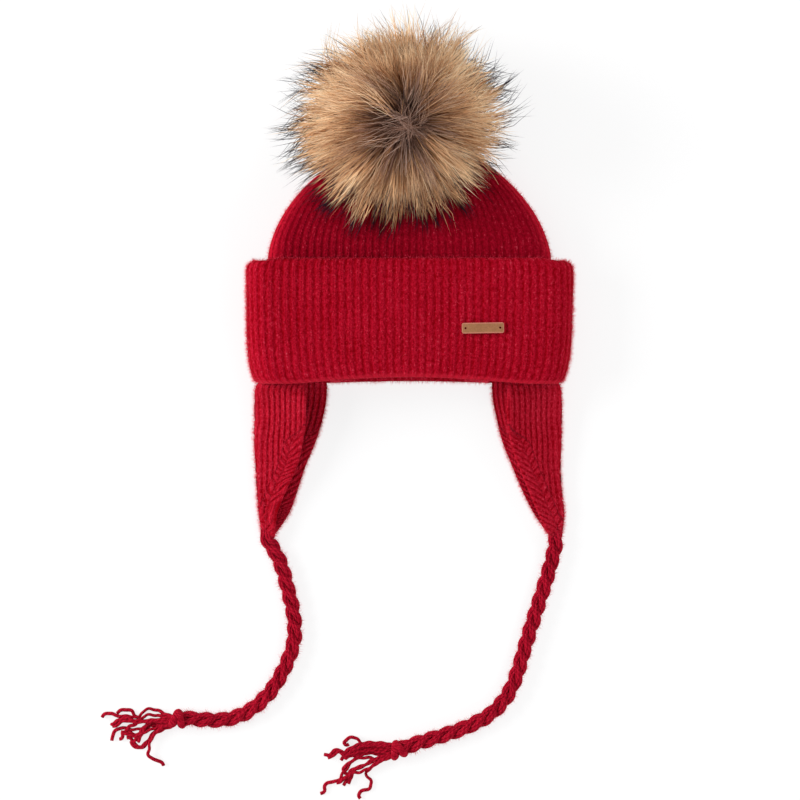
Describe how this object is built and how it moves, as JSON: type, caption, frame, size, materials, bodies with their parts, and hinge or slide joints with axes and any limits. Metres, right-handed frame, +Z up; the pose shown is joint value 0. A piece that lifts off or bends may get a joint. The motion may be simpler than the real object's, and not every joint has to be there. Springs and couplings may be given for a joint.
{
  "type": "knit earflap hat",
  "caption": "Ribbed knit hat with a folded cuff, folded earflaps, plaited ties with tassels, a fur pompom and a small leather label, lying flat.",
  "frame": {"origin": "on the surface the hat lies on, under the middle of the hat measured without its ties", "axes": "+X to the wearer's left, across the front; +Y from the earflaps to the pompom; +Z up, out of the hat's front"},
  "size_m": [0.35, 0.5838, 0.1282],
  "materials": {
    "wool": "matt ribbed knit",
    "wool_tie": "matt plaited yarn",
    "fur": "long soft fur",
    "leather": "matt with worn edges"
  },
  "bodies": {
    "root": {"crown": "wool", "cuff": "wool", "flap_left": "wool", "flap_right": "wool", "braid_left": "wool_tie", "braid_right": "wool_tie", "tassel_left": "wool_tie", "tassel_right": "wool_tie", "pompom": "fur", "label": "leather"}
  },
  "joints": []
}
